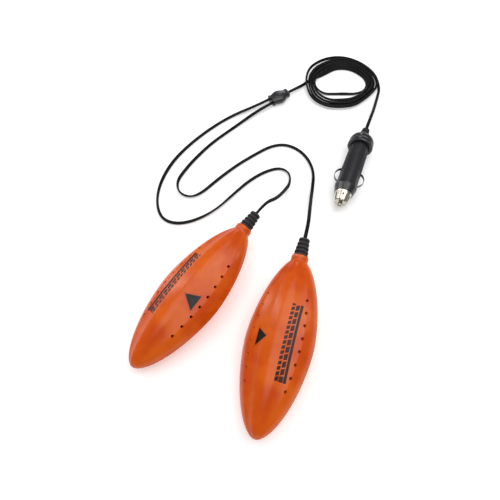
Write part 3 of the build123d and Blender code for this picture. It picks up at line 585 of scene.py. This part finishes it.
def wrapped(outline, rings, spot):
    """A closed skin of rings, each a copy of the outline put in place by spot(unit, ring)."""
    bm = bmesh.new()
    bmesh.ops.create_circle(bm, segments=len(outline), radius=1.0, cap_ends=False)
    number = bm.verts.layers.int.new("number")
    for index, vert in enumerate(bm.verts):
        vert[number] = index
    ring = list(bm.verts)
    edges = list(bm.edges)
    first = ring
    for step, numbers in enumerate(rings):
        if step:
            grown = bmesh.ops.extrude_edge_only(bm, edges=edges)["geom"]
            ring = [item for item in grown if isinstance(item, bmesh.types.BMVert)]
            new = set(ring)
            edges = [item for item in grown if isinstance(item, bmesh.types.BMEdge)]
            edges = [edge for edge in edges if set(edge.verts) <= new]
        for vert in ring:
            vert.co = spot(outline[vert[number]], numbers)
    for pole in (first, ring):
        middle = sum((vert.co for vert in pole), Vector()) / len(pole)
        bmesh.ops.pointmerge(bm, verts=pole, merge_co=middle)
    bmesh.ops.remove_doubles(bm, verts=bm.verts, dist=0.001)
    bmesh.ops.recalc_face_normals(bm, faces=bm.faces)
    return bm


def skin(looks, hollow=True):
    """A shell's closed skin: round the tip, back to the neck, and inside again where it is hollow."""
    def spot(unit, ring):
        x, wide, up, down, radius, share = ring
        body = Vector((unit.x * wide, unit.y * (up if unit.y > 0 else down)))
        point = body.lerp(unit.normalized() * radius, share)
        return (x, point.x, point.y)

    return wrapped(section_outline(), stations(looks, hollow), spot)


def halved(bm, looks, upper):
    """One half of a skin, closed on the parting plane, with a fine groove along its outer edge."""
    geometry = [*bm.verts, *bm.edges, *bm.faces]
    cut = bmesh.ops.bisect_plane(bm, geom=geometry, dist=0.0005, plane_co=(0, 0, 0), plane_no=(0, 0, 1),
                                 clear_inner=upper, clear_outer=not upper)["geom_cut"]
    edges = [item for item in cut if isinstance(item, bmesh.types.BMEdge)]
    for vert in {v for e in edges for v in e.verts}:
        x = vert.co.x
        if SEAM_REACH[0] < x < SEAM_REACH[1] and abs(vert.co.y) > half_width(x, looks) - 1.0:
            vert.co.y -= math.copysign(looks.seam_depth, vert.co.y)
    bmesh.ops.triangle_fill(bm, edges=edges, use_beauty=True)
    bmesh.ops.recalc_face_normals(bm, faces=bm.faces)
    return bm


def vent_cutters(looks):
    """Two rows of countersunk holes through the side ridges."""
    cutters = []
    for row in (1, -1):
        for number in range(looks.vent_count):
            x = VENT_FIRST + number * VENT_PITCH
            lean = -row * math.atan2(RIDGE.x, RIDGE.y)
            out = row * RIDGE.x * half_width(x, looks)
            up = RIDGE.y * half_height(x, looks.upper_height)
            radius = looks.vent_radius
            radii = (radius, radius, radius + VENT_SINK, radius + VENT_SINK)
            cutter = turned([*zip(VENT_REACH, radii)], 20)
            cutter.transform(Matrix.Translation((x, out, up)) @ Matrix.Rotation(lean, 4, "X"))
            cutters.append(cutter)
    return merge(cutters)


def lower_shell(looks):
    """The lower shell, with a screw well on each of its three bosses."""
    lower = halved(skin(looks), looks, False)
    bosses = merge([rod(BOSS_RADIUS, BELOW, -0.02, x, y) for x, y in SHELL_SCREWS])
    bosses = combined(bosses, skin(looks, False), "INTERSECT")
    lower = combined(lower, bosses, "UNION")
    wells = merge([rod(WELL_RADIUS, BELOW, SCREW_SEAT, x, y) for x, y in SHELL_SCREWS])
    lower = combined(lower, wells, "DIFFERENCE")
    shanks = merge([rod(SHANK_RADIUS, -12.0, 1.0, x, y) for x, y in SHELL_SCREWS])
    return combined(lower, shanks, "DIFFERENCE")


def dryer_place(side):
    at, turn = PLACES[side]
    return Matrix.Translation(at) @ Euler([math.radians(part) for part in turn], "XYZ").to_matrix().to_4x4()


def ribbed(start, end, base, tip, ribs, groove):
    """Points of a tapered relief with ribs, as (height, radius)."""
    pitch = (end - start) / (ribs + 0.5)
    slope = (tip - base) / (end - start)
    points = [(start, base)]
    for rib in range(ribs):
        near = start + (rib + 0.45) * pitch
        far = start + (rib + 0.95) * pitch
        near_radius = base + slope * (near - start)
        far_radius = base + slope * (far - start)
        points += [(near, near_radius), (near, near_radius - groove)]
        points += [(far, far_radius - groove), (far, far_radius)]
    return [*points, (end, tip)]


def dryer_relief():
    """The ribbed relief at a heater's neck, along Z, with the waist that passes the collar."""
    face = COLLAR[0][0]
    profile = [(0.2 - INNER_END, RELIEF_WAIST), (face, RELIEF_WAIST)]
    profile += ribbed(face, face - RELIEF_LENGTH, 6.1, 4.4, 4, 1.3)
    return soften(turned(profile), 0.22)


def plug_place():
    """The plug's frame: Z along it from the back of its cap, X across it and level."""
    side = Vector((math.sin(PLUG_HEADING), -math.cos(PLUG_HEADING), 0))
    turn = Matrix((side, PLUG_AXIS.cross(side), PLUG_AXIS)).transposed().to_4x4()
    return Matrix.Translation(PLUG_AT) @ turn


def plug_cap():
    """The domed rear cap, with a bead round its rim."""
    return soften(turned(CAP_PROFILE), 0.15, 40.0)


def barrel_grips():
    """Fine raised lines along both flanks of the barrel."""
    lines = []
    for flank in (1, -1):
        for number in range(GRIP_LINES):
            angle = flank * math.radians(GRIP_FIRST + GRIP_PITCH * number)
            bm = bmesh.new()
            bmesh.ops.create_cube(bm, size=1.0)
            bmesh.ops.bevel(bm, geom=bm.edges[:], offset=0.3, offset_type="OFFSET", segments=2, profile=0.5,
                            affect="EDGES", material=-1, clamp_overlap=True)
            bm.transform(Matrix.Rotation(angle, 4, "Z") @ Matrix.Translation(GRIP_AT)
                         @ Matrix.Rotation(BARREL_LEAN, 4, "X") @ Matrix.Diagonal(GRIP_SIZE))
            lines.append(bm)
    return merge(lines)


def splitter_body():
    """The splitter along X from its wide end: two flanges with a bulged middle."""
    def squared(part):
        return math.copysign(abs(part) ** SPLITTER_SQUARENESS, part)

    angles = [math.tau * (step + 0.5) / SPLITTER_SIDES for step in range(SPLITTER_SIDES)]
    outline = [Vector((squared(math.cos(a)), squared(math.sin(a)))) for a in angles]
    return wrapped(outline, SPLITTER_RINGS,
                   lambda unit, ring: (ring[0], unit.x * ring[1], SPLITTER_MIDDLE + unit.y * ring[2]))


def splitter_half(upper):
    """One half of the splitter, closed on its joint, and the upper one with its raised oval."""
    bm = splitter_body()
    geometry = [*bm.verts, *bm.edges, *bm.faces]
    bmesh.ops.bisect_plane(bm, geom=geometry, dist=0.0005, plane_co=(0, 0, SPLITTER_MIDDLE),
                           plane_no=(0, 0, 1), clear_inner=upper, clear_outer=not upper)
    rim = [edge for edge in bm.edges if edge.is_boundary]
    bmesh.ops.triangle_fill(bm, edges=rim, use_beauty=True)
    bmesh.ops.recalc_face_normals(bm, faces=bm.faces)
    if upper:
        oval = turned(OVAL_PROFILE, 40)
        oval.transform(Matrix.Translation(OVAL_AT) @ Matrix.Diagonal(OVAL_STRETCH))
        bm = combined(bm, oval, "UNION")
    return bm


# ---- leads ----
def lead_profile():
    """The flat twin lead's section, two round cores side by side, as a hidden curve."""
    curve = bpy.data.curves.new("lead_section", "CURVE")
    curve.dimensions = "2D"
    spline = curve.splines.new("POLY")
    waist = math.acos(-LEAD_OFFSET / LEAD_CORE)
    angles = [waist * share / 5 for share in range(-5, 6)]
    points = [(LEAD_OFFSET + LEAD_CORE * math.cos(a), LEAD_CORE * math.sin(a)) for a in angles]
    points += [(-x, -y) for x, y in points[1:-1]]
    spline.points.add(len(points) - 1)
    for point, (x, y) in zip(spline.points, points):
        point.co = (x * MM, y * MM, 0, 1)
    spline.use_cyclic_u = True
    profile = bpy.data.objects.new("lead_section", curve)
    bpy.context.collection.objects.link(profile)
    profile.hide_render = True
    profile.hide_viewport = True
    return profile


def lead(name, route, profile, material, nodes):
    """A flat twin lead on one smooth spline, turned on its own line by each point's tilt."""
    curve = bpy.data.curves.new(name, "CURVE")
    curve.dimensions = "3D"
    curve.twist_mode = "Z_UP"
    curve.bevel_mode = "OBJECT"
    curve.bevel_object = profile
    curve.use_fill_caps = True
    curve.resolution_u = 8
    curve.render_resolution_u = 8
    spline = curve.splines.new("NURBS")
    spline.points.add(len(route) - 1)
    for point, (x, y, height, tilt) in zip(spline.points, route):
        if height is None:
            height = MM * (LEAD_CORE + LEAD_OFFSET * abs(math.sin(math.radians(tilt))))
        point.co = (x, y, height, 1)
        point.tilt = math.radians(tilt)
    spline.order_u = 3
    spline.use_endpoint_u = True
    spline.use_smooth = True
    curve.materials.append(material)
    piece = bpy.data.objects.new(name, curve)
    bpy.context.collection.objects.link(piece)
    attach(piece, "root")
    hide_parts(*nodes)
    return piece


def around(table, bearing):
    """A value at a bearing in degrees, eased between the eight compass directions."""
    place = (bearing % 360) / COMPASS
    index = int(place)
    share = smooth(place - index)
    return table[index % 8] * (1 - share) + table[(index + 1) % 8] * share


def spread(turns):
    """How far out a turn of the coil lies, from 0 at the inner edge to 1 at the outer."""
    for (start, low), (end, high) in zip(SPREAD, SPREAD[1:]):
        if turns <= end:
            return low + (high - low) * (turns - start) / (end - start)
    return 1.0


def coil_points():
    """The loose coil, wound clockwise seen from above, each turn beside or on the one before."""
    points = []
    for number in range(int(COIL_TURNS * TURN_POINTS) + 1):
        turns = number / TURN_POINTS
        bearing = COIL_START - 360 * turns
        inner = around(INNER_EDGE, bearing)
        outer = around(OUTER_EDGE, bearing)
        radius = inner + BESIDE + (outer - inner - 2 * BESIDE) * spread(turns)
        down = math.sin(math.radians(bearing))
        if turns < CHORD_TURNS and down < 0:
            radius = min(radius, CHORD / -down)
        tilt = around(COIL_TILTS, bearing) + SWAY * math.sin(SWAY_RATE * turns)
        lift = STACK * (0.5 - 0.5 * math.cos(math.pi * max(turns - STACK_FROM, 0.0)))
        if turns > HUMP_FROM:
            from_lead = (bearing - HUMP_BEARING + 180) % 360 - 180
            lift += HUMP * (1 - smooth((abs(from_lead) - HUMP_FLAT) / HUMP_SLOPE))
        height = LEAD_CORE + LEAD_OFFSET * abs(math.sin(math.radians(tilt))) + lift
        direction = Vector((math.cos(math.radians(bearing)), down))
        at = COIL_CENTRE + direction * radius * SPLINE_SHRINK
        points.append((at.x * MM, at.y * MM, height * MM, tilt))
    return points


# ---- settings ----
class DryerSizes(bpy.types.PropertyGroup):
    """Sizes that a user may change."""

    shell_width: FloatProperty(name="Shell width", description="Widest part of a shell, in mm",
                               default=54.3, min=30)
    upper_height: FloatProperty(name="Upper height", description="Parting plane to the top ridge, in mm",
                                default=17.6)
    lower_height: FloatProperty(name="Lower height", description="Parting plane to the lower ridge, in mm",
                                default=16.8)
    seam_depth: FloatProperty(name="Seam depth", description="Groove between the shells, in mm", default=0.3)
    vent_radius: FloatProperty(name="Vent radius", description="Radius of a vent hole, in mm", default=1.0,
                               min=0.3)
    vent_count: IntProperty(name="Vents in a row", description="Holes along each side ridge", default=8,
                            min=1)
    shell_colour: FloatVectorProperty(name="Shell", description="Main colour of the shells", subtype="COLOR",
                                      default=paint(229, 101, 14))
    shell_deep_colour: FloatVectorProperty(name="Shell shade", description="Deeper tone of the shells",
                                           subtype="COLOR", default=paint(210, 74, 8))
    band_colour: FloatVectorProperty(name="Band", description="Printed band on the shells", subtype="COLOR",
                                     default=paint(60, 16, 7))
    shell_roughness: FloatProperty(name="Shell roughness", description="Gloss of the shells", default=0.22,
                                   subtype="FACTOR", min=0, max=1)
    overhead_strength: FloatProperty(name="Overhead light", description="Strength of the light from above",
                                     default=1.7, min=0)
    light_power: FloatProperty(name="Softbox power", description="Power of the main softbox", default=3.0,
                               unit="POWER")


def settings(context):
    return context.scene.boot_dryer


# ---- operators ----
class DRYER_OT_stage(bpy.types.Operator):
    """Sets up the pale floor, the soft lights and the camera"""

    bl_idname = "boot_dryer.stage"
    bl_label = "Studio stage"

    def execute(self, context):
        looks = settings(context)
        bm = bmesh.new()
        bmesh.ops.create_grid(bm, x_segments=4, y_segments=4, size=FLOOR_SIZE,
                              matrix=Matrix.Translation((0, 0, -FLOOR_DROP)))
        mesh = bpy.data.meshes.new("floor")
        bm.to_mesh(mesh)
        bm.free()
        finish = Finish("floor_paint")
        tone = finish.mix(finish.noise(3.0), (0.88, 0.88, 0.88, 1), (0.90, 0.90, 0.90, 1))
        mesh.materials.append(finish.plastic(Base_Color=tone, Roughness=0.8, Specular_IOR_Level=0.1,
                                             Emission_Color=tone, Emission_Strength=FLOOR_GLOW))
        floor = bpy.data.objects.new("floor", mesh)
        context.collection.objects.link(floor)

        world = bpy.data.worlds.new("studio")
        context.scene.world = world
        world.use_nodes = True
        background = world.node_tree.nodes["Background"]
        background.inputs["Color"].default_value = (1.0, 1.0, 1.0, 1)
        background.inputs["Strength"].default_value = WORLD_STRENGTH
        for name, at, wide, tall, share in SOFTBOXES:
            light = bpy.data.lights.new(name, "AREA")
            light.shape = "RECTANGLE"
            light.size = wide
            light.size_y = tall
            light.energy = looks.light_power * share
            lamp = bpy.data.objects.new(name, light)
            lamp.location = at
            lamp.rotation_euler = (LIT_MIDDLE - Vector(at)).to_track_quat("-Z", "Y").to_euler()
            context.collection.objects.link(lamp)

        light = bpy.data.lights.new("overhead", "SUN")
        light.energy = looks.overhead_strength
        light.angle = OVERHEAD_SPREAD
        overhead = bpy.data.objects.new("overhead", light)
        overhead.rotation_euler = OVERHEAD_TURN
        context.collection.objects.link(overhead)

        camera = bpy.data.cameras.new("camera")
        camera.lens = CAMERA_LENS
        camera.sensor_width = CAMERA_SENSOR
        camera.clip_start = CAMERA_NEAR
        holder = bpy.data.objects.new("camera", camera)
        holder.location = CAMERA_AT
        holder.rotation_euler = CAMERA_TURN
        context.collection.objects.link(holder)
        context.scene.camera = holder
        context.scene.view_settings.view_transform = "Standard"
        return {"FINISHED"}


class DRYER_OT_leads(bpy.types.Operator):
    """Lays the two branch leads, and the main lead with its loose coil"""

    bl_idname = "boot_dryer.leads"
    bl_label = "Leads"

    def execute(self, context):
        jacket = mixed_finish("cord_jacket", paint(9, 9, 10), paint(17, 17, 18), (0.36, 0.48), 0, 300.0,
                              0.00003, shine=0.15)
        profile = lead_profile()
        main_route = [*TO_COIL, *coil_points(), *TO_PLUG]
        left = lead("lead_left", LEFT_ROUTE, profile, jacket, ("cord_left",))
        right = lead("lead_right", RIGHT_ROUTE, profile, jacket, ("cord_right",))
        main = lead("lead_main", main_route, profile, jacket, ("cord_splitter", "cord_coil", "cord_plug"))
        return {"FINISHED"}


class DRYER_OT_shells(bpy.types.Operator):
    """Builds the upper and lower shells of both heaters"""

    bl_idname = "boot_dryer.shells"
    bl_label = "Heater shells"

    def execute(self, context):
        looks = settings(context)
        upper = combined(halved(skin(looks), looks, True), vent_cutters(looks), "DIFFERENCE")
        lower = lower_shell(looks)
        for side in SIDES:
            material = shell_finish(side, looks)
            place = dryer_place(side)
            add_piece(upper.copy(), f"{side}_shell_top", material, place, (f"{side}_upper_shell",),
                      sharp=40)
            add_piece(lower.copy(), f"{side}_shell_base", material, place, (f"{side}_lower_shell",),
                      sharp=40)
        upper.free()
        lower.free()
        return {"FINISHED"}


class DRYER_OT_fittings(bpy.types.Operator):
    """Builds the reliefs, the splitter, and the plug's cap and grip lines, in the pack's plain blacks"""

    bl_idname = "boot_dryer.fittings"
    bl_label = "Reliefs, splitter and plug"

    def execute(self, context):
        rubber = bpy.data.materials["black_rubber"]
        plastic = bpy.data.materials["black_plastic"]
        along_x = Matrix.Rotation(math.radians(90), 4, "Y")
        for side in SIDES:
            add_piece(dryer_relief(), f"{side}_relief", rubber, dryer_place(side) @ along_x,
                      (f"{side}_strain_relief",))
        plug = plug_place()
        relief = soften(turned([(1.2, 5.0), *ribbed(0, -10.0, 5.0, 3.5, 3, 0.9)]), 0.2)
        add_piece(relief, "plug_relief_ribs", rubber, plug, ("plug_relief",))
        add_piece(plug_cap(), "plug_cap_dome", plastic, plug, ("plug_cap",))
        add_piece(barrel_grips(), "barrel_grips", plastic, plug, ())
        splitter = Matrix.Translation(SPLITTER_AT) @ Matrix.Rotation(SPLITTER_HEADING, 4, "Z")
        add_piece(splitter_half(True), "splitter_top", plastic, splitter, ("splitter_upper",))
        add_piece(splitter_half(False), "splitter_base", plastic, splitter, ("splitter_lower",))
        return {"FINISHED"}


class DRYER_OT_finishes(bpy.types.Operator):
    """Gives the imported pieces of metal, glass, ceramic, wire and pale plastic their own finishes"""

    bl_idname = "boot_dryer.finishes"
    bl_label = "Finishes"

    def execute(self, context):
        finishes = {
            "nickel_plate": mixed_finish("nickel_plate", (0.62, 0.58, 0.50), (0.42, 0.40, 0.36),
                                         (0.16, 0.30), 1.0),
            "dark_spring_steel": mixed_finish("dark_spring_steel", (0.10, 0.10, 0.11), (0.2, 0.2, 0.21),
                                              (0.25, 0.4), 1.0),
            "steel": mixed_finish("steel", (0.42, 0.42, 0.43), (0.55, 0.55, 0.56), (0.25, 0.42), 1.0),
            "aluminium_sheet": mixed_finish("aluminium_sheet", (0.72, 0.73, 0.74), (0.62, 0.63, 0.65),
                                            (0.3, 0.42), 1.0),
            "ptc_ceramic": mixed_finish("ptc_ceramic", paint(120, 112, 104), paint(150, 142, 132),
                                        (0.6, 0.75)),
            "brass": mixed_finish("brass", (0.60, 0.43, 0.17), (0.45, 0.31, 0.12), (0.22, 0.4), 1.0),
            "wire_jacket": mixed_finish("wire_jacket", paint(150, 28, 24), paint(170, 38, 30), (0.4, 0.5)),
            "natural_plastic": mixed_finish("natural_plastic", paint(214, 208, 194), paint(226, 221, 208),
                                            (0.4, 0.52)),
            "fuse_glass": glass_finish(),
        }
        slots = packed_slots()
        for name, node in frame["nodes"].items():
            if slots.get(name) not in finishes:
                continue
            node.data.materials.clear()
            node.data.materials.append(finishes[slots[name]])
        return {"FINISHED"}


def packed_slots():
    """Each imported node's material slot, from the record."""
    return {part["node"]: part["material_slot"] for part in frame["record"]["subparts"]}


OPERATORS = (DRYER_OT_stage, DRYER_OT_leads, DRYER_OT_shells, DRYER_OT_fittings, DRYER_OT_finishes)


class DRYER_PT_sidebar(bpy.types.Panel):
    """Lists the dryer's settings and steps"""

    bl_label = "Boot dryer"
    bl_idname = "DRYER_PT_sidebar"
    bl_space_type = "VIEW_3D"
    bl_region_type = "UI"
    bl_category = "Dryer"

    def draw(self, context):
        looks = settings(context)
        column = self.layout.column(align=True)
        for name in DryerSizes.__annotations__:
            column.prop(looks, name)
        for operator in OPERATORS:
            self.layout.operator(operator.bl_idname)


CLASSES = (DryerSizes, *OPERATORS, DRYER_PT_sidebar)


def register():
    for item in CLASSES:
        bpy.utils.register_class(item)
    bpy.types.Scene.boot_dryer = PointerProperty(type=DryerSizes)


def unregister():
    del bpy.types.Scene.boot_dryer
    for item in reversed(CLASSES):
        bpy.utils.unregister_class(item)


def main():
    register()
    bpy.ops.boot_dryer.stage()
    bpy.ops.boot_dryer.fittings()
    bpy.ops.boot_dryer.leads()
    bpy.ops.boot_dryer.shells()
    bpy.ops.boot_dryer.finishes()
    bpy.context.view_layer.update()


if __name__ == "__main__":
    main()
